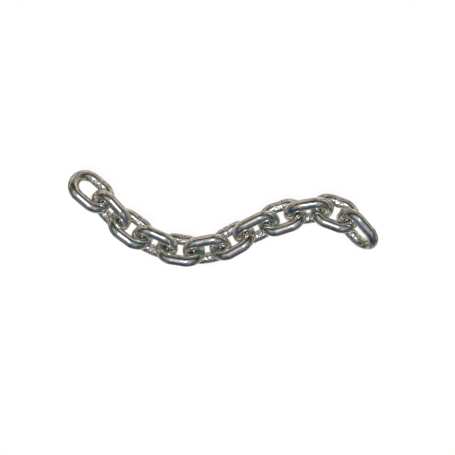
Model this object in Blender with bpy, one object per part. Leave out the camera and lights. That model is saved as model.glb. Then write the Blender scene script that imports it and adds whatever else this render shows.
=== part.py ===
"""A length of bright short-link steel chain, lying slack in a shallow curve on a level floor.

Twelve welded links, each one round bar bent into a flat-sided ring. Every link leans about
halfway over, to the other side than its neighbour, and lies on one long leg. A middle link is
the root. Every other link hangs on an empty in the crown of the link before it, so turning
that empty about its own Y swings the rest of the chain on that crown's bar.

Metres, +Z up, +X along the chain, origin on the floor under the middle of its bounding box.
"""

import math

import bmesh
import bpy
import numpy as np
from mathutils import Matrix, Vector

# The link
BAR = 0.0137  # diameter of the round bar
PITCH = 0.034  # inner length of a link's eye
WIDTH = 0.046  # outer width of a link

# The lie of the chain
ROOT = 5  # index of the link that carries the others
HEADINGS_DEG = (-41.0, -48.0, -37.0, -23.5, -8.0, 11.0, 29.5, 27.0, 19.0, 9.5, -20.0, -49.0)
LEAN_DEG = 45.0  # how steeply a link stands in a straight stretch
LEAN_PER_BEND = 0.3  # how much steeper or flatter it stands in a bend, which keeps its hooks open
REST_GAP = 0.0006  # clearance left between two hooked bars

# How finely the round bar is cut
SECTION_SIDES = 16
CROWN_STEPS = 12
CENTRELINE_POINTS = 91
SLACK_STEP = 0.00002  # by which a hook is slackened until its bars clear

# Worked out from the above
CROWN_RADIUS = (WIDTH - BAR) / 2  # of the bar's centreline
LEG_LENGTH = PITCH + BAR - 2 * CROWN_RADIUS
APEX = (PITCH + BAR) / 2  # from a link's centre to the bar's centreline at its crown
HALF_SIDE_ANGLE = math.pi / SECTION_SIDES
CORNER_RADIUS = BAR / 2 * math.sqrt(HALF_SIDE_ANGLE * 2 / math.sin(HALF_SIDE_ANGLE * 2))
FACET_RADIUS = CORNER_RADIUS * math.cos(HALF_SIDE_ANGLE)

STEEL_COLOUR = (0.62, 0.63, 0.64, 1.0)
STEEL_ROUGHNESS = 0.2


def clear_scene():
    """Remove every object that the file opened with."""
    for thing in list(bpy.data.objects):
        bpy.data.objects.remove(thing, do_unlink=True)


def steel():
    """Bright, plated steel."""
    material = bpy.data.materials.new("bright_steel")
    material.use_nodes = True
    shader = material.node_tree.nodes["Principled BSDF"]
    shader.inputs["Base Color"].default_value = STEEL_COLOUR
    shader.inputs["Metallic"].default_value = 1.0
    shader.inputs["Roughness"].default_value = STEEL_ROUGHNESS
    return material


def bend_at(index):
    """How far the chain turns, in degrees, from link `index` to the next one along it."""
    return HEADINGS_DEG[index + 1] - HEADINGS_DEG[index]


def lean_of(index):
    """How steeply a link stands, in radians. A bend stands every other link up or lays it down."""
    bends = [bend_at(hook) for hook in (index - 1, index) if 0 <= hook < len(HEADINGS_DEG) - 1]
    steeper = -1 if index % 2 else 1
    return math.radians(LEAN_DEG + steeper * LEAN_PER_BEND * sum(bends) / len(bends))


def centre_height(index):
    """How high a link's centre is when its low leg lies on the floor."""
    return CROWN_RADIUS * math.sin(lean_of(index)) + FACET_RADIUS


def bar_section(bm, index):
    """The bar's section at the start of the right-hand crown, with one flat facing the floor."""
    floor_turn = -lean_of(index) if index % 2 else lean_of(index)
    turned = Matrix.Rotation(HALF_SIDE_ANGLE + floor_turn, 4, "Z")
    stood_up = Matrix.Rotation(math.radians(90.0), 4, "Y")
    place = Matrix.Translation((LEG_LENGTH / 2, -CROWN_RADIUS, 0.0))
    bmesh.ops.create_circle(
        bm, segments=SECTION_SIDES, radius=CORNER_RADIUS, matrix=place @ stood_up @ turned
    )
    return list(bm.edges)


def bend_crown(bm, section, side):
    """Sweep the section half a turn about the crown's centre. Returns the section it ends in."""
    swept = bmesh.ops.spin(
        bm,
        geom=section,
        cent=(side * LEG_LENGTH / 2, 0.0, 0.0),
        axis=(0.0, 0.0, 1.0),
        angle=math.pi,
        steps=CROWN_STEPS,
        use_merge=False,
    )
    return [part for part in swept["geom_last"] if isinstance(part, bmesh.types.BMEdge)]


def draw_leg(bm, section):
    """Run the section straight along -X for the length of a leg. Returns the section it ends in."""
    drawn = bmesh.ops.extrude_edge_only(bm, edges=section)["geom"]
    bmesh.ops.translate(
        bm,
        vec=(-LEG_LENGTH, 0.0, 0.0),
        verts=[part for part in drawn if isinstance(part, bmesh.types.BMVert)],
    )
    edges = [part for part in drawn if isinstance(part, bmesh.types.BMEdge)]
    return [edge for edge in edges if abs(edge.verts[0].co.x - edge.verts[1].co.x) < BAR / 100]


def link_mesh(index, material):
    """One link, flat in XY about its centre: two crowns joined by two straight legs."""
    bm = bmesh.new()
    first = bar_section(bm, index)
    after_crown = bend_crown(bm, first, 1)
    after_leg = draw_leg(bm, after_crown)
    last = bend_crown(bm, after_leg, -1)
    bmesh.ops.bridge_loops(bm, edges=first + last)
    bmesh.ops.recalc_face_normals(bm, faces=bm.faces)
    mesh = bpy.data.meshes.new("link")
    bm.to_mesh(mesh)
    bm.free()
    mesh.shade_smooth()
    mesh.materials.append(material)
    return mesh


def centreline():
    """Points along the middle of a flat link's bar, as rows of X, Y, Z and 1."""
    turn = np.linspace(-math.pi / 2, math.pi / 2, CENTRELINE_POINTS)
    crown_x = LEG_LENGTH / 2 + CROWN_RADIUS * np.cos(turn)
    leg_x = np.linspace(LEG_LENGTH / 2, -LEG_LENGTH / 2, CENTRELINE_POINTS)
    half_x = np.concatenate((crown_x, leg_x))
    half_y = np.concatenate((CROWN_RADIUS * np.sin(turn), np.full_like(leg_x, CROWN_RADIUS)))
    x = np.concatenate((half_x, -half_x))
    y = np.concatenate((half_y, -half_y))
    return np.column_stack((x, y, np.zeros_like(x), np.ones_like(x)))


def along(index):
    """The way a link points, level with the floor."""
    heading = math.radians(HEADINGS_DEG[index])
    return Vector((math.cos(heading), math.sin(heading), 0.0))


def standing(index, spot):
    """A link's world matrix, its centre over `spot` and its low leg on the floor.

    Its own +Y points to the high leg: to world +Y on odd indices, and to -Y on even ones.
    """
    raised = Matrix.Translation((0.0, 0.0, centre_height(index)))
    headed = Matrix.Rotation(math.radians(HEADINGS_DEG[index]), 4, "Z")
    lean = lean_of(index) if index % 2 else math.pi - lean_of(index)
    return Matrix.Translation(spot) @ raised @ headed @ Matrix.Rotation(lean, 4, "X")


def bar_spacing(index, side, step):
    """Least distance between the centrelines of a link and of the next one on `side`."""
    points = centreline()
    here = (points @ np.array(standing(index, Vector())).T)[:, :3]
    there = (points @ np.array(standing(index + side, step)).T)[:, :3]
    apart = here[:, None, :] - there[None, :, :]
    return float(np.sqrt((apart**2).sum(axis=2).min()))


def hooked_step(index, side):
    """From a link's centre to the next one's, the hook slackened until its bars just clear."""
    reach = PITCH / 2
    both = side * (along(index) + along(index + side))
    while bar_spacing(index, side, reach * both) < BAR + REST_GAP:
        reach -= SLACK_STEP
    return reach * both


def add_link(index, material, parent, matrix):
    """One link, at `matrix` on what carries it."""
    link = bpy.data.objects.new(f"link_{index + 1:02d}", link_mesh(index, material))
    bpy.context.scene.collection.objects.link(link)
    link.parent = parent
    link.matrix_basis = matrix
    return link


def add_hook(index, side, carrier):
    """The empty on which link `index` swings, in the crown of the link that carries it."""
    hook = bpy.data.objects.new(f"hook_{index + 1:02d}", None)
    bpy.context.scene.collection.objects.link(hook)
    hook.parent = carrier
    hook.matrix_basis = Matrix.Translation((side * APEX, 0.0, 0.0))
    return hook


def hang_branch(side, root, material):
    """Hook the links on one side of the root, each onto the one before it."""
    carrier, index = root, ROOT
    while 0 <= index + side < len(HEADINGS_DEG):
        hook = add_hook(index + side, side, carrier)
        hook_place = standing(index, Vector()) @ hook.matrix_basis
        link_place = standing(index + side, hooked_step(index, side))
        index += side
        carrier = add_link(index, material, hook, hook_place.inverted() @ link_place)


def centre_on_floor(root):
    """Shift the root so that the origin is under the middle of the chain's bounding box."""
    bpy.context.view_layer.update()
    corners = [
        thing.matrix_world @ vertex.co
        for thing in bpy.data.objects
        if thing.type == "MESH"
        for vertex in thing.data.vertices
    ]
    for axis in (0, 1):
        values = [corner[axis] for corner in corners]
        root.location[axis] -= (min(values) + max(values)) / 2
    bpy.context.view_layer.update()


def main():
    """Build the chain, outwards from its root link."""
    clear_scene()
    material = steel()
    root = add_link(ROOT, material, None, standing(ROOT, Vector()))
    for side in (-1, 1):
        hang_branch(side, root, material)
    centre_on_floor(root)


main()
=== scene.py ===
"""Looks for a length of bright zinc-plated steel chain, lying slack on a pale floor.

Every link is one round bar, bent into a ring and butt-welded in the middle of the leg that it
lies on. It stands where its CAD node stands and rides on that node's body. The link's sizes are
in millimetres, and its mesh is made in metres. The studio is in metres throughout.
"""

import logging
import math
from dataclasses import dataclass, field
from enum import Enum

import bpy
import numpy as np
from mathutils import Matrix, Vector, noise


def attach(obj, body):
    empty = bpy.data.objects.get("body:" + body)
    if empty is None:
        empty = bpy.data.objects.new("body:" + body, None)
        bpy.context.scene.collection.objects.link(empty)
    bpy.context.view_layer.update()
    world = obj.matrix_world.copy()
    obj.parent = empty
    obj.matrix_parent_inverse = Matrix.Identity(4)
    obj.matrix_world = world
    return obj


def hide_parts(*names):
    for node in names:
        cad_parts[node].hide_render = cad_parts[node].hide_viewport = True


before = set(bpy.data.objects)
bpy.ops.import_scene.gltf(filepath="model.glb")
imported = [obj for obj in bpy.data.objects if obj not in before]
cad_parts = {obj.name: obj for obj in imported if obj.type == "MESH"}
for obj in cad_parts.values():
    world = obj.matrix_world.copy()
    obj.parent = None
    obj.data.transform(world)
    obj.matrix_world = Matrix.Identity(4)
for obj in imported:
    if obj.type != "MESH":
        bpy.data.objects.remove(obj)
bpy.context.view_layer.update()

MM = 0.001
LINK_COUNT = 12
PICTURE_SIDE = 455  # pixels, the photograph's width and height

Colour = tuple[float, float, float]
Edges = tuple[float, float]  # the values at which an effect starts and is full
Stop = tuple[float, float, float, float]  # degrees from overhead, then a colour

log = logging.getLogger("chain")


class Leg(Enum):
    """The two straight legs of a leaning link, by the sign of their own Y."""

    LOW = -1
    HIGH = 1


class Pattern(Enum):
    """The noises that shape a link, by what each adds to the link's own seed."""

    WAVES = 0.0
    WELD_EDGE = 2.0
    DENTS = 3.0
    WELD_LUMPS = 5.0
    WRINKLES = 8.0


def smooth_step(low: float, high: float, value: np.ndarray) -> np.ndarray:
    """Rise smoothly from 0 at `low` to 1 at `high`.

    Args:
        low: Value at which the step starts.
        high: Value at which it ends.
        value: Values to step.

    Returns:
        The stepped values, from 0 to 1.
    """
    part = np.clip((value - low) / (high - low), 0.0, 1.0)
    return part * part * (3.0 - 2.0 * part)


def field_noise(points: np.ndarray, size: float, seed: float, octaves: int = 2) -> np.ndarray:
    """Fractal noise at a list of points.

    Args:
        points: Rows of X, Y and Z in millimetres.
        size: Width in millimetres of the noise's largest lumps.
        seed: Shift that gives each link its own pattern.
        octaves: Number of ever finer layers.

    Returns:
        One value a point, mostly within -1 to 1.
    """
    shift = Vector((seed * 17.3, seed * -9.1, seed * 5.7))
    fading, finer = 0.6, 2.1
    return np.array(
        [noise.fractal(Vector(point) / size + shift, fading, finer, octaves) for point in points]
    )


def direction(azimuth: float, slant: float) -> Vector:
    """The unit vector at an azimuth and an angle from overhead, both in degrees."""
    turn, fall = math.radians(azimuth), math.radians(slant)
    return Vector((math.sin(fall) * math.cos(turn), math.sin(fall) * math.sin(turn), math.cos(fall)))


class Nodes:
    """Adds shader nodes to one tree and joins them up."""

    def __init__(self, tree: bpy.types.NodeTree) -> None:
        """Keep the tree that the nodes go into."""
        self.tree = tree

    def add(self, kind: str, settings: dict[str, object] | None = None, **inputs: object) -> bpy.types.Node:
        """Add one node.

        Args:
            kind: Blender's type name, without "ShaderNode".
            settings: Properties of the node itself.
            **inputs: Values or sockets by input name, with _ for a space.

        Returns:
            The new node.
        """
        node = self.tree.nodes.new("ShaderNode" + kind)
        for name, value in (settings or {}).items():
            setattr(node, name, value)
        for name, value in inputs.items():
            self.feed(node.inputs[name.replace("_", " ")], value)
        return node

    def feed(self, socket: bpy.types.NodeSocket, value: object) -> None:
        """Join a socket to another one, or set a plain value on it.

        Args:
            socket: The input.
            value: An output socket, a number, a vector or a colour.
        """
        if isinstance(value, bpy.types.NodeSocket):
            self.tree.links.new(value, socket)
        elif socket.type == "RGBA" and len(value) == 3:
            socket.default_value = (*value, 1.0)
        else:
            socket.default_value = value

    def feed_all(self, node: bpy.types.Node, *values: object) -> None:
        """Feed a node's inputs in their order."""
        for socket, value in zip(node.inputs, values):
            self.feed(socket, value)

    def maths(self, operation: str, *values: object) -> bpy.types.NodeSocket:
        """Add one Math node.

        Args:
            operation: Blender's name for it.
            *values: Numbers or sockets, in the node's order.

        Returns:
            The node's result.
        """
        node = self.add("Math", {"operation": operation})
        self.feed_all(node, *values)
        return node.outputs["Value"]

    def dot(self, first: object, second: object) -> bpy.types.NodeSocket:
        """The dot product of two vectors.

        Args:
            first: A vector or a socket.
            second: The other.

        Returns:
            The product.
        """
        node = self.add("VectorMath", {"operation": "DOT_PRODUCT"})
        self.feed_all(node, first, second)
        return node.outputs["Value"]

    def scaled(self, vector: object, share: object) -> bpy.types.NodeSocket:
        """A vector or colour, times a number.

        Args:
            vector: The vector, or its socket.
            share: The number, or its socket.

        Returns:
            The scaled vector.
        """
        node = self.add("VectorMath", {"operation": "SCALE"}, Scale=share)
        self.feed_all(node, vector)
        return node.outputs["Vector"]

    def step(self, value: object, low: float, high: float) -> bpy.types.NodeSocket:
        """Rise smoothly from 0 at `low` to 1 at `high`, which may be the lower of the two.

        Args:
            value: Socket to step.
            low: Value at which the step starts.
            high: Value at which it ends.

        Returns:
            The stepped value.
        """
        node = self.add("MapRange", {"interpolation_type": "SMOOTHSTEP"}, Value=value)
        node.inputs["From Min"].default_value = low
        node.inputs["From Max"].default_value = high
        return node.outputs["Result"]

    def span(self, value: object, low: float, high: float) -> bpy.types.NodeSocket:
        """Spread a value of 0 to 1 evenly from `low` to `high`."""
        return self.add("MapRange", Value=value, To_Min=low, To_Max=high).outputs["Result"]

    def blend(self, share: object, first: object, second: object, kind: str = "MIX") -> bpy.types.NodeSocket:
        """Mix two colours.

        Args:
            share: How much the second one counts, from 0 to 1.
            first: A colour or a socket.
            second: The other.
            kind: Blender's name for the way of mixing.

        Returns:
            The mixed colour.
        """
        node = self.add("Mix", {"data_type": "RGBA", "blend_type": kind}, Factor=share)
        self.feed(node.inputs[6], first)
        self.feed(node.inputs[7], second)
        return node.outputs[2]

    def speckle(self, place: object, seed: object, size: float, detail: float = 2.0) -> bpy.types.NodeSocket:
        """Fractal noise from 0 to 1.

        Args:
            place: Where each point is.
            seed: What sets one noise apart from another.
            size: About how wide the lumps are, in the units of `place`.
            detail: Number of ever finer layers.

        Returns:
            The noise.
        """
        settings = {"noise_dimensions": "4D"}
        node = self.add("TexNoise", settings, Vector=place, W=seed, Scale=1.0 / size, Detail=detail)
        return node.outputs[0]


def new_group(name: str, inputs: dict[str, str], outputs: dict[str, str]) -> tuple:
    """Start a shader node group.

    Args:
        name: The group's name.
        inputs: Socket types by input name.
        outputs: Socket types by output name.

    Returns:
        The group, its Nodes, the input node's sockets, and the output node's sockets.
    """
    group = bpy.data.node_groups.new(name, "ShaderNodeTree")
    for way, sockets in (("INPUT", inputs), ("OUTPUT", outputs)):
        for socket, kind in sockets.items():
            group.interface.new_socket(socket, in_out=way, socket_type=kind)
    given = group.nodes.new("NodeGroupInput").outputs
    result = group.nodes.new("NodeGroupOutput").inputs
    return group, Nodes(group), given, result


@dataclass(frozen=True)
class Patch:
    """One tint, which shows where a noise of its own is high. The film's patches are such tints, and so is
    the painted light in the crowns.
    """

    tint: Colour
    size: float
    shift: float
    edges: Edges

    def mask(self, nodes: Nodes, place: object, seed: object) -> bpy.types.NodeSocket:
        """Find where the tint shows.

        Args:
            nodes: The film's nodes.
            place: Where each point is.
            seed: The link's own seed, to which the tint's shift is added.

        Returns:
            From 0, bare, to 1, tinted.
        """
        own = nodes.maths("ADD", seed, self.shift)
        return nodes.step(nodes.speckle(place, own, self.size), *self.edges)


@dataclass(frozen=True)
class FilmAndHookLight:
    """The thin film on new zinc, which colours it in faint patches, and the painted light that warms and
    lifts the crowns, most on their inner sides where the links hook.
    """

    straw: Patch = Patch((0.86, 0.80, 0.68), 7.0, 23.0, (0.52, 0.66))
    olive: Patch = Patch((0.64, 0.64, 0.40), 7.0, 11.0, (0.55, 0.70))
    teal: Patch = Patch((0.44, 0.68, 0.74), 9.0, 0.0, (0.54, 0.68))
    violet: Patch = Patch((0.93, 0.89, 0.97), 15.0, 51.0, (0.44, 0.60))
    # Painted light: a warm lift that brightens the crowns in patches, fullest on their inner sides where the
    # links hook into each other.
    hook_light: Patch = Patch((1.06, 1.05, 0.92), 5.0, 37.0, (0.30, 0.62))

    def group(self) -> bpy.types.NodeTree:
        """Build the group that tints a colour with the film's patches and with the painted light in the
        crowns.

        Returns:
            The group, which turns Bare into Color.
        """
        group, nodes, given, result = new_group(
            "Film and hook light",
            {
                "Place": "NodeSocketVector",
                "Seed": "NodeSocketFloat",
                "Bare": "NodeSocketColor",
                "Amount": "NodeSocketFloat",
                "Hook light": "NodeSocketFloat",
            },
            {"Color": "NodeSocketColor"},
        )
        layers = [(patch, given["Amount"]) for patch in (self.straw, self.olive, self.teal, self.violet)]
        # The last layer is painted light on the crowns, not film.
        layers.append((self.hook_light, given["Hook light"]))
        colour = given["Bare"]
        for patch, amount in layers:
            share = nodes.maths("MULTIPLY", patch.mask(nodes, given["Place"], given["Seed"]), amount)
            colour = nodes.blend(share, colour, patch.tint, "MULTIPLY")
        nodes.feed(result["Color"], colour)
        return group


@dataclass(frozen=True)
class BrightZinc:
    """Bright zinc plate over drawn bar, rougher, whiter and pitted over the weld.

    Sizes are the widths of lumps and lines. Heights are shares of the bump's depth.
    """

    slot: str = "bright_steel"
    plate: Colour = (0.895, 0.90, 0.90)
    weld_plate: Colour = (0.95, 0.95, 0.96)
    weld_pit: Colour = (0.11, 0.105, 0.10)
    metallic: float = 0.95
    smoothest: float = 0.02
    roughest: float = 0.09
    weld_roughness: float = 0.20
    film_and_hook_light: FilmAndHookLight = field(default_factory=FilmAndHookLight)
    film_amount: float = 0.82
    line_size: float = 0.45
    line_squeeze: float = 0.06
    cloud_size: float = 3.2
    grain_size: float = 1.5
    ripple_size: float = 1.8
    pits: Edges = (0.49, 0.39)
    rough_spots: Edges = (0.35, 0.65)
    line_height: float = 0.05
    ripple_height: float = 0.34
    weld_height: float = 1.6
    hook_crust_height: float = 0.5
    bump_strength: float = 0.35
    bump_depth: float = 0.10

    def marks(self, nodes: Nodes) -> dict[str, bpy.types.NodeSocket]:
        """Read the link's masks and lay the patterns that its colour, gloss and relief share.

        Args:
            nodes: The material's nodes.

        Returns:
            Sockets by name.
        """
        spot = nodes.add("Attribute", {"attribute_name": "flat_link"}).outputs["Vector"]
        straight = nodes.add("Attribute", {"attribute_name": "straight_bar"}).outputs["Vector"]
        own = {"attribute_type": "OBJECT", "attribute_name": "plate_seed"}
        seed = nodes.add("Attribute", own).outputs["Fac"]
        drawn = nodes.add("Mapping", {"vector_type": "POINT"}, Vector=straight)
        drawn.inputs["Scale"].default_value = (self.line_squeeze, 1.0, 1.0)
        return {
            "spot": spot,
            "seed": seed,
            "weld": nodes.add("Attribute", {"attribute_name": "weld"}).outputs["Fac"],
            # This mask of the crowns carries painted light into the colour and a crust into the relief.
            "hook_light_and_crust": nodes.add("Attribute", {"attribute_name": "hook_light_and_crust"}).outputs["Fac"],
            "lines": nodes.speckle(drawn.outputs["Vector"], seed, self.line_size, 3.0),
            "clouds": nodes.speckle(spot, seed, self.cloud_size, 3.0),
            "grain": nodes.speckle(spot, seed, self.grain_size, 2.5),
        }

    def colour(self, nodes: Nodes, marks: dict[str, bpy.types.NodeSocket]) -> bpy.types.NodeSocket:
        """Colour the filmed plate with painted light in its crowns, and the white, pitted plate over the
        weld.

        Args:
            nodes: The material's nodes.
            marks: The link's masks and patterns.

        Returns:
            The base colour.
        """
        film_and_hook_light = nodes.tree.nodes.new("ShaderNodeGroup")
        film_and_hook_light.node_tree = self.film_and_hook_light.group()
        nodes.feed(film_and_hook_light.inputs["Place"], marks["spot"])
        nodes.feed(film_and_hook_light.inputs["Seed"], marks["seed"])
        nodes.feed(film_and_hook_light.inputs["Bare"], self.plate)
        nodes.feed(film_and_hook_light.inputs["Amount"], self.film_amount)
        # Painted light: the crowns' mask warms and lifts their colour.
        nodes.feed(film_and_hook_light.inputs["Hook light"], marks["hook_light_and_crust"])
        pits = nodes.step(marks["grain"], *self.pits)
        welded = nodes.blend(pits, self.weld_plate, self.weld_pit)
        return nodes.blend(marks["weld"], film_and_hook_light.outputs["Color"], welded)

    def gloss(self, nodes: Nodes, marks: dict[str, bpy.types.NodeSocket]) -> bpy.types.NodeSocket:
        """Roughen the plate unevenly, and the weld more.

        Args:
            nodes: The material's nodes.
            marks: The link's masks and patterns.

        Returns:
            The roughness.
        """
        lines = nodes.maths("MULTIPLY", marks["lines"], 0.5)
        clouds = nodes.maths("MULTIPLY", marks["clouds"], 0.5)
        spots = nodes.step(nodes.maths("ADD", lines, clouds), *self.rough_spots)
        rough = nodes.add("Mix", {"data_type": "FLOAT"}, Factor=marks["weld"])
        nodes.feed(rough.inputs[2], nodes.span(spots, self.smoothest, self.roughest))
        nodes.feed(rough.inputs[3], self.weld_roughness)
        return rough.outputs[0]

    def relief(self, nodes: Nodes, marks: dict[str, bpy.types.NodeSocket]) -> bpy.types.NodeSocket:
        """Add ripples and drawing lines everywhere, and a crust on the weld and in the crowns, most on their
        inner sides.

        Args:
            nodes: The material's nodes.
            marks: The link's masks and patterns.

        Returns:
            The bumped normal.
        """
        ripple = nodes.speckle(marks["spot"], marks["seed"], self.ripple_size, 2.0)
        ripple = nodes.maths("MULTIPLY", ripple, self.ripple_height)
        on_weld = nodes.maths("MULTIPLY", marks["weld"], self.weld_height)
        in_hooks = nodes.maths("MULTIPLY", marks["hook_light_and_crust"], self.hook_crust_height)
        crust = nodes.maths("MULTIPLY", marks["grain"], nodes.maths("ADD", on_weld, in_hooks))
        lines = nodes.maths("MULTIPLY", marks["lines"], self.line_height)
        height = nodes.maths("ADD", nodes.maths("ADD", ripple, crust), lines)
        depth = self.bump_depth * MM
        return nodes.add("Bump", Height=height, Strength=self.bump_strength, Distance=depth).outputs["Normal"]

    def material(self) -> bpy.types.Material:
        """Build the plate's material.

        Returns:
            The material, named for its slot.
        """
        material = bpy.data.materials.new(self.slot)
        material.use_nodes = True
        nodes = Nodes(material.node_tree)
        shader = material.node_tree.nodes["Principled BSDF"]
        shader.inputs["Metallic"].default_value = self.metallic
        marks = self.marks(nodes)
        nodes.feed(shader.inputs["Base Color"], self.colour(nodes, marks))
        nodes.feed(shader.inputs["Roughness"], self.gloss(nodes, marks))
        nodes.feed(shader.inputs["Normal"], self.relief(nodes, marks))
        return material


@dataclass(frozen=True)
class Weld:
    """The butt weld in the middle of a link's low leg, its flash dressed off in long flats."""

    half_length: float = 5.8
    fade_inside: float = 1.6
    fade_outside: float = 0.4
    fray: float = 2.2
    fray_size: float = 3.0
    flats: int = 8
    flat_depth: float = 0.34
    swell: float = 0.14
    lump: float = 0.17
    lump_size: float = 2.6
    wander: float = 0.30
    seam: float = 0.10
    seam_width: float = 0.5
    lowest: float = -0.5
    highest: float = 0.30

    def mask(self, along: np.ndarray, edge: np.ndarray) -> np.ndarray:
        """How far each point belongs to the weld.

        Args:
            along: Distance of each point from the weld's middle, along the bar.
            edge: Noise that frays the weld's edges.

        Returns:
            From 0, plain bar, to 1, weld.
        """
        start, end = self.half_length - self.fade_inside, self.half_length + self.fade_outside
        return 1.0 - smooth_step(start, end, np.abs(along) + edge * self.fray)

    def relief(
        self, along: np.ndarray, turned: np.ndarray, radius: float, lumps: np.ndarray, mask: np.ndarray
    ) -> np.ndarray:
        """How far the weld stands proud of the bar.

        Args:
            along: Distance of each point from the weld's middle, along the bar.
            turned: Angle of each point round the bar from its uppermost line.
            radius: The plain bar's radius.
            lumps: Noise for the metal that was squeezed out.
            mask: How far each point belongs to the weld.

        Returns:
            Millimetres, less than zero in the middle of the flats.
        """
        each = 2.0 * math.pi / self.flats
        from_middle = (turned + self.wander * lumps + each / 2) % each - each / 2
        flat = (radius - self.flat_depth) / np.cos(from_middle) - radius
        seam = self.seam * np.exp(-((along / self.seam_width) ** 2))
        dressed = np.minimum(flat, self.swell) + self.lump * lumps + seam
        return np.clip(mask * dressed, self.lowest, self.highest)


@dataclass(frozen=True)
class LinkForm:
    """Sizes of one link, in millimetres.

    `wrinkled`, `swollen` and the edges of the painted light and crust in the crowns are on a scale from -1 on
    the ring's outer side to 1 on its inner side. `floored` is the edges on a scale from -1, facing down, to
    1, facing up.
    """

    bar_radius: float = 6.86
    crown_radius: float = 16.15
    half_leg: float = 7.7
    sides: int = 72
    fine_step: float = 0.27
    coarse_step: float = 0.62
    fine_reach: float = 7.0
    waviness: float = 0.07
    wave_size: float = 11.0
    dents: float = 0.020
    dent_size: float = 4.5
    wrinkles: float = 0.05
    wrinkle_size: float = 2.8
    wrinkled: Edges = (-0.6, 0.4)
    crown_swell: float = 0.16
    swollen: Edges = (0.55, 1.0)
    crown_edges: Edges = (-1.0, 7.0)
    # Where the crowns' painted light and crust rise towards the inner side, from a least share on the outer
    # side.
    hook_edges: Edges = (-0.5, 0.6)
    least_hook_share: float = 0.35
    floored: Edges = (-0.85, -0.45)

    @property
    def half_round(self) -> float:
        """Half the length of the bar's centreline, from mid leg to mid leg."""
        return 2.0 * self.half_leg + math.pi * self.crown_radius

    def stations(self) -> np.ndarray:
        """Space the rings of vertices along the bar, closer over the weld.

        Returns:
            The rings' distances from the middle of the low leg.
        """
        fine = np.arange(-self.fine_reach, self.fine_reach, self.fine_step)
        rest = 2.0 * self.half_round - 2.0 * self.fine_reach
        count = round(rest / self.coarse_step)
        return np.concatenate((fine, self.fine_reach + rest * np.arange(count) / count))

    def centreline(self, along: np.ndarray) -> tuple[np.ndarray, np.ndarray]:
        """The middle of the bar, starting in the middle of the low leg and going towards +X.

        Args:
            along: Distances along the bar.

        Returns:
            The middle's points, and the unit vectors that point out of the ring there.
        """
        spot, outward = np.zeros((len(along), 3)), np.zeros((len(along), 3))
        for row, distance in enumerate(along):
            side = 1 if distance <= self.half_round else -1
            reach = distance if side > 0 else 2.0 * self.half_round - distance
            if reach <= self.half_leg:
                out = (0.0, Leg.LOW.value)
                x, y = reach, self.crown_radius * out[1]
            elif reach <= self.half_round - self.half_leg:
                turn = (reach - self.half_leg) / self.crown_radius - math.pi / 2
                out = (math.cos(turn), math.sin(turn))
                x, y = self.half_leg + self.crown_radius * out[0], self.crown_radius * out[1]
            else:
                out = (0.0, Leg.HIGH.value)
                x, y = self.half_round - reach, self.crown_radius * out[1]
            spot[row, :2] = side * x, y
            outward[row, :2] = side * out[0], out[1]
        return spot, outward

    def in_crown(self, along: np.ndarray) -> np.ndarray:
        """How far inside a crown each ring is.

        Args:
            along: Distances along the bar.

        Returns:
            From 0 in the legs to 1 in the bends.
        """
        reach = np.minimum(along % (2 * self.half_round), (-along) % (2 * self.half_round))
        depth = np.minimum(reach, self.half_round - reach) - self.half_leg
        return smooth_step(*self.crown_edges, depth)


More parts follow.
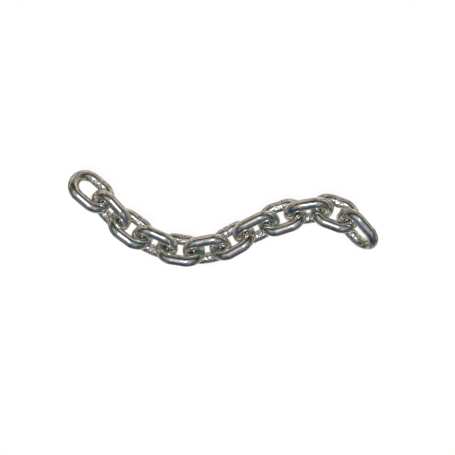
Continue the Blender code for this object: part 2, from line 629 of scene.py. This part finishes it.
@dataclass
class ChainLink:
    """One welded link, laid where its CAD node lies."""

    number: int
    form: LinkForm = field(default_factory=LinkForm)
    weld: Weld = field(default_factory=Weld)

    @property
    def name(self) -> str:
        """The link's CAD node and body."""
        return f"link_{self.number:02d}"

    @property
    def seed(self) -> float:
        """What makes this link's lumps and tints its own."""
        return 3.7 * self.number + 0.9

    def place(self) -> Matrix:
        """Find where the link stands, from its CAD node.

        Returns:
            The world matrix of a link that is flat in XY, its X along it and its Y to the high leg.
        """
        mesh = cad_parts[self.name].data
        corners = np.empty(len(mesh.vertices) * 3)
        mesh.vertices.foreach_get("co", corners)
        corners = np.unique(np.round(corners.reshape(-1, 3), 7), axis=0)
        middle = corners.mean(axis=0)
        _, axes = np.linalg.eigh(np.cov((corners - middle).T))
        along, across = Vector(axes[:, 2]), Vector(axes[:, 1])
        along *= math.copysign(1.0, along.x)
        across *= math.copysign(1.0, across.z)
        matrix = Matrix((along, across, along.cross(across))).transposed().to_4x4()
        matrix.translation = Vector(middle)
        return matrix

    def lumps(self, points: np.ndarray, size: float, pattern: Pattern, octaves: int = 2) -> np.ndarray:
        """Take one of the link's own noises over a grid of points.

        Args:
            points: Rings by sides by X, Y and Z.
            size: Width of the largest lumps.
            pattern: Which noise it is.
            octaves: Number of ever finer layers.

        Returns:
            Rings by sides.
        """
        rows = field_noise(points.reshape(-1, 3), size, self.seed + pattern.value, octaves)
        return rows.reshape(points.shape[:2])

    def bar_relief(self, bar: np.ndarray, crown: np.ndarray, inward: np.ndarray) -> np.ndarray:
        """Shape the slight unevenness of a hammered and bent bar.

        Args:
            bar: Points of the plain round bar.
            crown: How far inside a crown each ring is.
            inward: How far each side faces into the ring.

        Returns:
            How far each point stands proud of the plain bar, which is mostly a little less than zero.
        """
        form = self.form
        waves = self.lumps(bar, form.wave_size, Pattern.WAVES) * form.waviness
        waves = waves + self.lumps(bar, form.dent_size, Pattern.DENTS) * form.dents
        wrinkles = self.lumps(bar, form.wrinkle_size, Pattern.WRINKLES) * form.wrinkles
        waves = waves + wrinkles * crown * smooth_step(*form.wrinkled, inward)
        fuller = crown * smooth_step(*form.swollen, inward) * form.crown_swell
        return np.clip(waves, -form.waviness, form.waviness) - form.waviness + fuller

    def weld_relief(
        self, near: np.ndarray, turned: np.ndarray, bar: np.ndarray
    ) -> tuple[np.ndarray, np.ndarray]:
        """Shape the weld.

        Args:
            near: Signed distance of each ring from the middle of the low leg.
            turned: Angle of each side round the bar from its uppermost line.
            bar: Points of the plain round bar.

        Returns:
            The weld's mask, and how far it stands proud of the bar.
        """
        mask, relief = np.zeros(bar.shape[:2]), np.zeros(bar.shape[:2])
        rows = np.abs(near) < self.form.fine_reach
        along, patch = near[rows][:, None], bar[rows]
        edge = self.lumps(patch, self.weld.fray_size, Pattern.WELD_EDGE)
        lumps = self.lumps(patch, self.weld.lump_size, Pattern.WELD_LUMPS, 4)
        mask[rows] = self.weld.mask(along, edge)
        relief[rows] = self.weld.relief(along, turned, self.form.bar_radius, lumps, mask[rows])
        return mask, relief

    def surface(self, place: Matrix) -> dict[str, np.ndarray]:
        """Shape the bar's skin.

        Args:
            place: The link's world matrix, which tells the side that it lies on.

        Returns:
            Arrays of rings by sides: the points in millimetres, the straight bar's coordinates,
            the weld's mask and how much painted light and crust the crowns get there.
        """
        form = self.form
        along = form.stations()
        spot, outward = form.centreline(along)
        turn = np.linspace(0.0, 2.0 * math.pi, form.sides, endpoint=False)
        across, upright = np.cos(turn), np.array((0.0, 0.0, 1.0))
        facing = across[None, :, None] * outward[:, None, :] + np.sin(turn)[None, :, None] * upright
        bar = spot[:, None, :] + facing * form.bar_radius
        shape = bar.shape[:2]

        crown, inward = form.in_crown(along)[:, None], -across[None, :]
        proud = self.bar_relief(bar, crown, inward)
        up = np.array(place.to_3x3())[2]
        near = np.where(along > form.half_round, along - 2 * form.half_round, along)
        turned = turn[None, :] - math.atan2(up[2], -up[1])
        mask, relief = self.weld_relief(near, turned, bar)
        # The weld's underside stays plain, so that the link lies on the floor.
        proud = proud + relief * smooth_step(*form.floored, facing @ up)

        length = np.broadcast_to((along % (2 * form.half_round))[:, None], shape)
        ring = [form.bar_radius * np.broadcast_to(wave, shape) for wave in (across, np.sin(turn))]
        # Painted light in the colour, and crust in the relief: over the crowns, fullest on their inner sides.
        hook_share = form.least_hook_share + (1.0 - form.least_hook_share) * smooth_step(*form.hook_edges, inward)
        return {
            "points": spot[:, None, :] + facing * (form.bar_radius + proud)[:, :, None],
            "straight": np.stack((length, *ring), axis=-1),
            "weld": mask,
            "hook_light_and_crust": crown * hook_share,
        }

    def mesh(self, place: Matrix) -> bpy.types.Mesh:
        """Skin the bar with quads, closed both ways round.

        Args:
            place: The link's world matrix.

        Returns:
            The mesh, in metres, where the link stands.
        """
        skin = self.surface(place)
        rings, sides = skin["weld"].shape
        corner = np.arange(rings * sides).reshape(rings, sides)
        ahead, beside = np.roll(corner, -1, axis=0), np.roll(corner, -1, axis=1)
        both = np.roll(ahead, -1, axis=1)
        faces = np.stack((corner, ahead, both, beside), axis=-1).reshape(-1, 4)
        axes, middle = np.array(place.to_3x3()), np.array(place.translation)
        stood = skin["points"].reshape(-1, 3) * MM @ axes.T + middle
        stood[:, 2] = np.maximum(stood[:, 2], 0.0)
        mesh = bpy.data.meshes.new(self.name + "_bar")
        mesh.from_pydata(stood.tolist(), [], faces.tolist())
        for name in ("weld", "hook_light_and_crust"):
            mask = mesh.attributes.new(name, "FLOAT", "POINT")
            mask.data.foreach_set("value", skin[name].astype(np.float32).ravel())
        for name, key in (("straight_bar", "straight"), ("flat_link", "points")):
            vectors = mesh.attributes.new(name, "FLOAT_VECTOR", "POINT")
            vectors.data.foreach_set("vector", skin[key].astype(np.float32).ravel())
        mesh.shade_smooth()
        return mesh

    def build(self, finish: BrightZinc, material: bpy.types.Material) -> bpy.types.Object:
        """Make the link, dress it and set it on its body.

        Args:
            finish: Not used. The link takes the finish's slot through its material.
            material: The finish's material.

        Returns:
            The link's object.
        """
        place = self.place()
        link = bpy.data.objects.new(f"chain_{self.name}", self.mesh(place))
        bpy.context.scene.collection.objects.link(link)
        link.data.materials.append(material)
        link["plate_seed"] = self.seed
        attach(link, self.name)
        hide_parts(self.name)
        return link


@dataclass(frozen=True)
class Wall:
    """One side of the room, as the steel mirrors it, between what is overhead and underfoot."""

    azimuth: float
    stops: tuple[Stop, ...]


@dataclass(frozen=True)
class Glow:
    """A soft-edged bright patch of the room, placed by azimuth and angle from overhead.

    It is full within `core` degrees of its middle and ends at `edge` degrees.
    """

    azimuth: float
    slant: float
    core: float
    edge: float
    colour: Colour

    def mask(self, nodes: Nodes, way: bpy.types.NodeSocket) -> bpy.types.NodeSocket:
        """Find how far each direction is inside the glow.

        Args:
            nodes: The world's nodes.
            way: The direction.

        Returns:
            From 0, outside, to 1, in its core.
        """
        nearness = nodes.dot(way, direction(self.azimuth, self.slant))
        return nodes.step(nearness, math.cos(math.radians(self.edge)), math.cos(math.radians(self.core)))


@dataclass(frozen=True)
class Room:
    """What the bright bars mirror: a grey ceiling, four dark walls and a pale bench top."""

    overhead: Stop = (0.0, 0.44, 0.445, 0.45)
    underfoot: Stop = (168.0, 1.0, 0.97, 0.93)
    walls: tuple[Wall, ...] = (
        Wall(90.0, ((23.0, 0.42, 0.42, 0.425), (32.0, 0.29, 0.285, 0.275), (40.0, 0.055, 0.046, 0.036),
                    (53.0, 0.014, 0.011, 0.007), (62.0, 0.09, 0.075, 0.058), (75.0, 0.37, 0.325, 0.27),
                    (96.0, 0.47, 0.41, 0.345), (125.0, 0.60, 0.53, 0.47), (146.0, 0.82, 0.75, 0.685))),
        Wall(0.0, ((28.0, 0.40, 0.41, 0.43), (42.0, 0.21, 0.22, 0.23), (56.0, 0.055, 0.06, 0.055),
                   (70.0, 0.045, 0.044, 0.035), (79.0, 0.16, 0.145, 0.12), (91.0, 0.47, 0.415, 0.34),
                   (106.0, 0.07, 0.058, 0.04), (117.0, 0.075, 0.062, 0.044), (131.0, 0.64, 0.565, 0.485),
                   (150.0, 0.80, 0.73, 0.66))),
        Wall(-90.0, ((20.0, 0.38, 0.39, 0.41), (32.0, 0.20, 0.21, 0.23), (48.0, 0.095, 0.11, 0.132),
                     (62.0, 0.034, 0.041, 0.053), (90.0, 0.03, 0.035, 0.04), (105.0, 0.22, 0.215, 0.205),
                     (145.0, 0.54, 0.51, 0.47))),
        Wall(180.0, ((22.0, 0.37, 0.38, 0.36), (42.0, 0.28, 0.29, 0.25), (52.0, 0.075, 0.075, 0.055),
                     (64.0, 0.026, 0.024, 0.016), (74.0, 0.10, 0.09, 0.065), (89.0, 0.47, 0.415, 0.34),
                     (104.0, 0.06, 0.05, 0.034), (115.0, 0.065, 0.054, 0.038), (130.0, 0.54, 0.475, 0.40),
                     (150.0, 0.64, 0.58, 0.51))),
    )
    glows: tuple[Glow, ...] = (
        Glow(54.0, 11.0, 4.0, 13.0, (0.36, 0.36, 0.36)),
        Glow(85.0, 1.0, 4.0, 12.0, (0.36, 0.36, 0.36)),
        Glow(58.0, 5.0, 2.5, 7.0, (8.0, 8.0, 8.0)),
        Glow(-140.0, 62.0, 10.0, 42.0, (0.0, 0.02, 0.06)),
        Glow(30.0, 28.0, 6.0, 24.0, (0.14, 0.14, 0.14)),
        Glow(-55.0, 50.0, 5.0, 34.0, (0.055, 0.058, 0.07)),
    )
    clutter_size: float = 0.30
    clutter_seed: float = 2.0
    clutter_edges: Edges = (0.3, 0.7)
    clutter_tones: tuple[float, float] = (0.32, 1.74)
    backdrop: Colour = (1.0, 1.0, 1.0)

    def tone(self, nodes: Nodes, angle: bpy.types.NodeSocket, wall: Wall) -> bpy.types.NodeSocket:
        """Look up the tone of one side of the room.

        Args:
            nodes: The world's nodes.
            angle: The angle from overhead, as a share of 180 degrees.
            wall: That side.

        Returns:
            The tone.
        """
        node = nodes.add("ValToRGB", Fac=angle)
        stops = (self.overhead, *wall.stops, self.underfoot)
        elements = node.color_ramp.elements
        while len(elements) < len(stops):
            elements.new(1.0)
        for element, (degrees, *colour) in zip(elements, stops):
            element.position = degrees / 180.0
            element.color = (*colour, 1.0)
        return node.outputs["Color"]

    def share(self, nodes: Nodes, level: bpy.types.NodeSocket, wall: Wall) -> bpy.types.NodeSocket:
        """Find how much a direction looks towards a wall.

        Args:
            nodes: The world's nodes.
            level: The direction, laid level.
            wall: The wall.

        Returns:
            The square of the cosine between them, so the four walls' shares add up to 1.
        """
        turn = math.radians(wall.azimuth)
        towards = nodes.dot(level, (math.cos(turn), math.sin(turn), 0.0))
        facing = nodes.maths("MAXIMUM", towards, 0.0)
        return nodes.maths("MULTIPLY", facing, facing)

    def added(self, nodes: Nodes, total: object, colour: object, share: object) -> bpy.types.NodeSocket:
        """Add a share of a colour to the total so far.

        Args:
            nodes: The world's nodes.
            total: The total so far, which is None at first.
            colour: The colour.
            share: How much of it there is.

        Returns:
            The new total.
        """
        part = nodes.scaled(colour, share)
        if total is None:
            return part
        both = nodes.add("VectorMath", {"operation": "ADD"})
        nodes.feed_all(both, total, part)
        return both.outputs["Vector"]

    def build(self) -> None:
        """Make it the scene's world. The camera sees the plain backdrop in its place."""
        world = bpy.data.worlds.new("studio")
        bpy.context.scene.world = world
        world.use_nodes = True
        world.node_tree.nodes.clear()
        nodes = Nodes(world.node_tree)
        way = nodes.add("TexCoord").outputs["Generated"]
        parts = nodes.add("SeparateXYZ", Vector=way)
        angle = nodes.maths("DIVIDE", nodes.maths("ARCCOSINE", parts.outputs["Z"]), math.pi)
        flat = nodes.add("CombineXYZ", X=parts.outputs["X"], Y=parts.outputs["Y"], Z=0.0)
        level = nodes.add("VectorMath", {"operation": "NORMALIZE"}, Vector=flat.outputs["Vector"])
        total = None
        for wall in self.walls:
            share = self.share(nodes, level.outputs["Vector"], wall)
            total = self.added(nodes, total, self.tone(nodes, angle, wall), share)
        clutter = nodes.speckle(way, self.clutter_seed, self.clutter_size, 1.0)
        clutter = nodes.step(clutter, *self.clutter_edges)
        total = nodes.scaled(total, nodes.span(clutter, *self.clutter_tones))
        for glow in self.glows:
            red, green, blue = glow.colour
            colour = nodes.add("CombineXYZ", X=red, Y=green, Z=blue)
            total = self.added(nodes, total, colour.outputs["Vector"], glow.mask(nodes, way))
        seen = nodes.add("LightPath").outputs["Is Camera Ray"]
        shade = nodes.add("Background", Color=nodes.blend(seen, total, self.backdrop))
        nodes.add("OutputWorld", Surface=shade.outputs["Background"])


@dataclass(frozen=True)
class Lamp:
    """A round soft panel that looks at the chain, placed by azimuth and angle from overhead."""

    name: str
    azimuth: float
    slant: float
    width: float
    radiance: float
    colour: Colour = (1.0, 1.0, 1.0)
    distance: float = 1.25

    def build(self) -> None:
        """Hang the lamp. A disc's power is its radiance times its area times pi."""
        way = direction(self.azimuth, self.slant)
        data = bpy.data.lights.new(self.name, "AREA")
        data.shape, data.size, data.color = "DISK", self.width, self.colour
        data.energy = self.radiance * math.pi * math.pi * self.width**2 / 4.0
        lamp = bpy.data.objects.new(self.name, data)
        lamp.location = way * self.distance
        lamp.rotation_mode = "QUATERNION"
        lamp.rotation_quaternion = way.to_track_quat("Z", "Y")
        bpy.context.scene.collection.objects.link(lamp)


@dataclass(frozen=True)
class Studio:
    """Pale floor, soft light and the camera, in metres and degrees.

    The camera's azimuth is counted from +Y towards +X. `aim` is the X and Y on the floor that it
    looks at, and `focal_pixels` its focal length in pixels of the photograph.
    """

    floor_side: float = 6.0
    floor_colour: Colour = (0.86, 0.86, 0.86)
    floor_roughness: float = 0.9
    floor_glow: float = 0.78
    shadow_reach: float = 0.010
    shadow_tone: float = 0.90
    shadow_samples: int = 12
    lamps: tuple[Lamp, ...] = (Lamp("softbox", 54.0, 5.0, 0.72, 0.18),)
    azimuth: float = 23.04
    elevation: float = 79.13
    roll: float = 0.271
    distance: float = 1.0287
    aim: tuple[float, float] = (0.00506, -0.01355)
    focal_pixels: float = 832.5
    sensor: float = 36.0

    def floor_material(self) -> bpy.types.Material:
        """Build the floor's finish: pale, matt and lit from below like a light table.

        Returns:
            The material. The camera sees through it to the backdrop, under a faint contact shadow,
            so links that swing below floor level still show.
        """
        material = bpy.data.materials.new("pale_floor")
        material.use_nodes = True
        shader = material.node_tree.nodes["Principled BSDF"]
        shader.inputs["Base Color"].default_value = (*self.floor_colour, 1.0)
        shader.inputs["Roughness"].default_value = self.floor_roughness
        shader.inputs["Specular IOR Level"].default_value = 0.0
        shader.inputs["Emission Color"].default_value = (1.0, 1.0, 1.0, 1.0)
        shader.inputs["Emission Strength"].default_value = self.floor_glow
        nodes = Nodes(material.node_tree)
        near = nodes.add("AmbientOcclusion", {"samples": self.shadow_samples}, Distance=self.shadow_reach)
        shadow = nodes.span(near.outputs["AO"], self.shadow_tone, 1.0)
        clear = nodes.add("BsdfTransparent", Color=shadow)
        seen = nodes.add("MixShader", Fac=nodes.add("LightPath").outputs["Is Camera Ray"])
        nodes.feed(seen.inputs[1], shader.outputs["BSDF"])
        nodes.feed(seen.inputs[2], clear.outputs["BSDF"])
        nodes.feed(material.node_tree.nodes["Material Output"].inputs["Surface"], seen.outputs["Shader"])
        return material

    def floor(self) -> None:
        """Lay a wide floor, which the steel doesn't mirror: it mirrors the room instead."""
        half = self.floor_side / 2
        corners = [(-half, -half, 0.0), (half, -half, 0.0), (half, half, 0.0), (-half, half, 0.0)]
        mesh = bpy.data.meshes.new("floor")
        mesh.from_pydata(corners, [], [(0, 1, 2, 3)])
        mesh.materials.append(self.floor_material())
        floor = bpy.data.objects.new("floor", mesh)
        bpy.context.scene.collection.objects.link(floor)
        floor.visible_glossy = False
        floor.visible_shadow = False

    def camera(self) -> None:
        """Set up the photograph's viewpoint, high over the chain."""
        turn, rise, roll = (math.radians(angle) for angle in (self.azimuth, self.elevation, self.roll))
        back = Vector((math.cos(rise) * math.sin(turn), math.cos(rise) * math.cos(turn), math.sin(rise)))
        level_up = (Vector((0.0, 1.0, 0.0)) - back * back.y).normalized()
        level_right = level_up.cross(back)
        up = level_up * math.cos(roll) + level_right * math.sin(roll)
        right = level_right * math.cos(roll) - level_up * math.sin(roll)
        data = bpy.data.cameras.new("camera")
        data.sensor_width = self.sensor
        data.lens = self.focal_pixels / PICTURE_SIDE * self.sensor
        data.clip_start, data.clip_end = 0.05, 50.0
        camera = bpy.data.objects.new("camera", data)
        camera.matrix_world = Matrix((right, up, back)).transposed().to_4x4()
        camera.location = Vector((*self.aim, 0.0)) + back * self.distance
        bpy.context.scene.collection.objects.link(camera)
        bpy.context.scene.camera = camera

    def build(self) -> None:
        """Set up the floor, the light, what the steel mirrors and the camera."""
        self.floor()
        for lamp in self.lamps:
            lamp.build()
        Room().build()
        self.camera()
        bpy.context.scene.view_settings.view_transform = "Standard"


def main() -> None:
    """Build the studio and the chain, link by link."""
    logging.basicConfig(level=logging.INFO, format="%(message)s")
    Studio().build()
    finish = BrightZinc()
    material = finish.material()
    for number in range(1, LINK_COUNT + 1):
        link = ChainLink(number).build(finish, material)
        log.info("%s: %d faces", link.name, len(link.data.polygons))


if __name__ == "__main__":
    main()
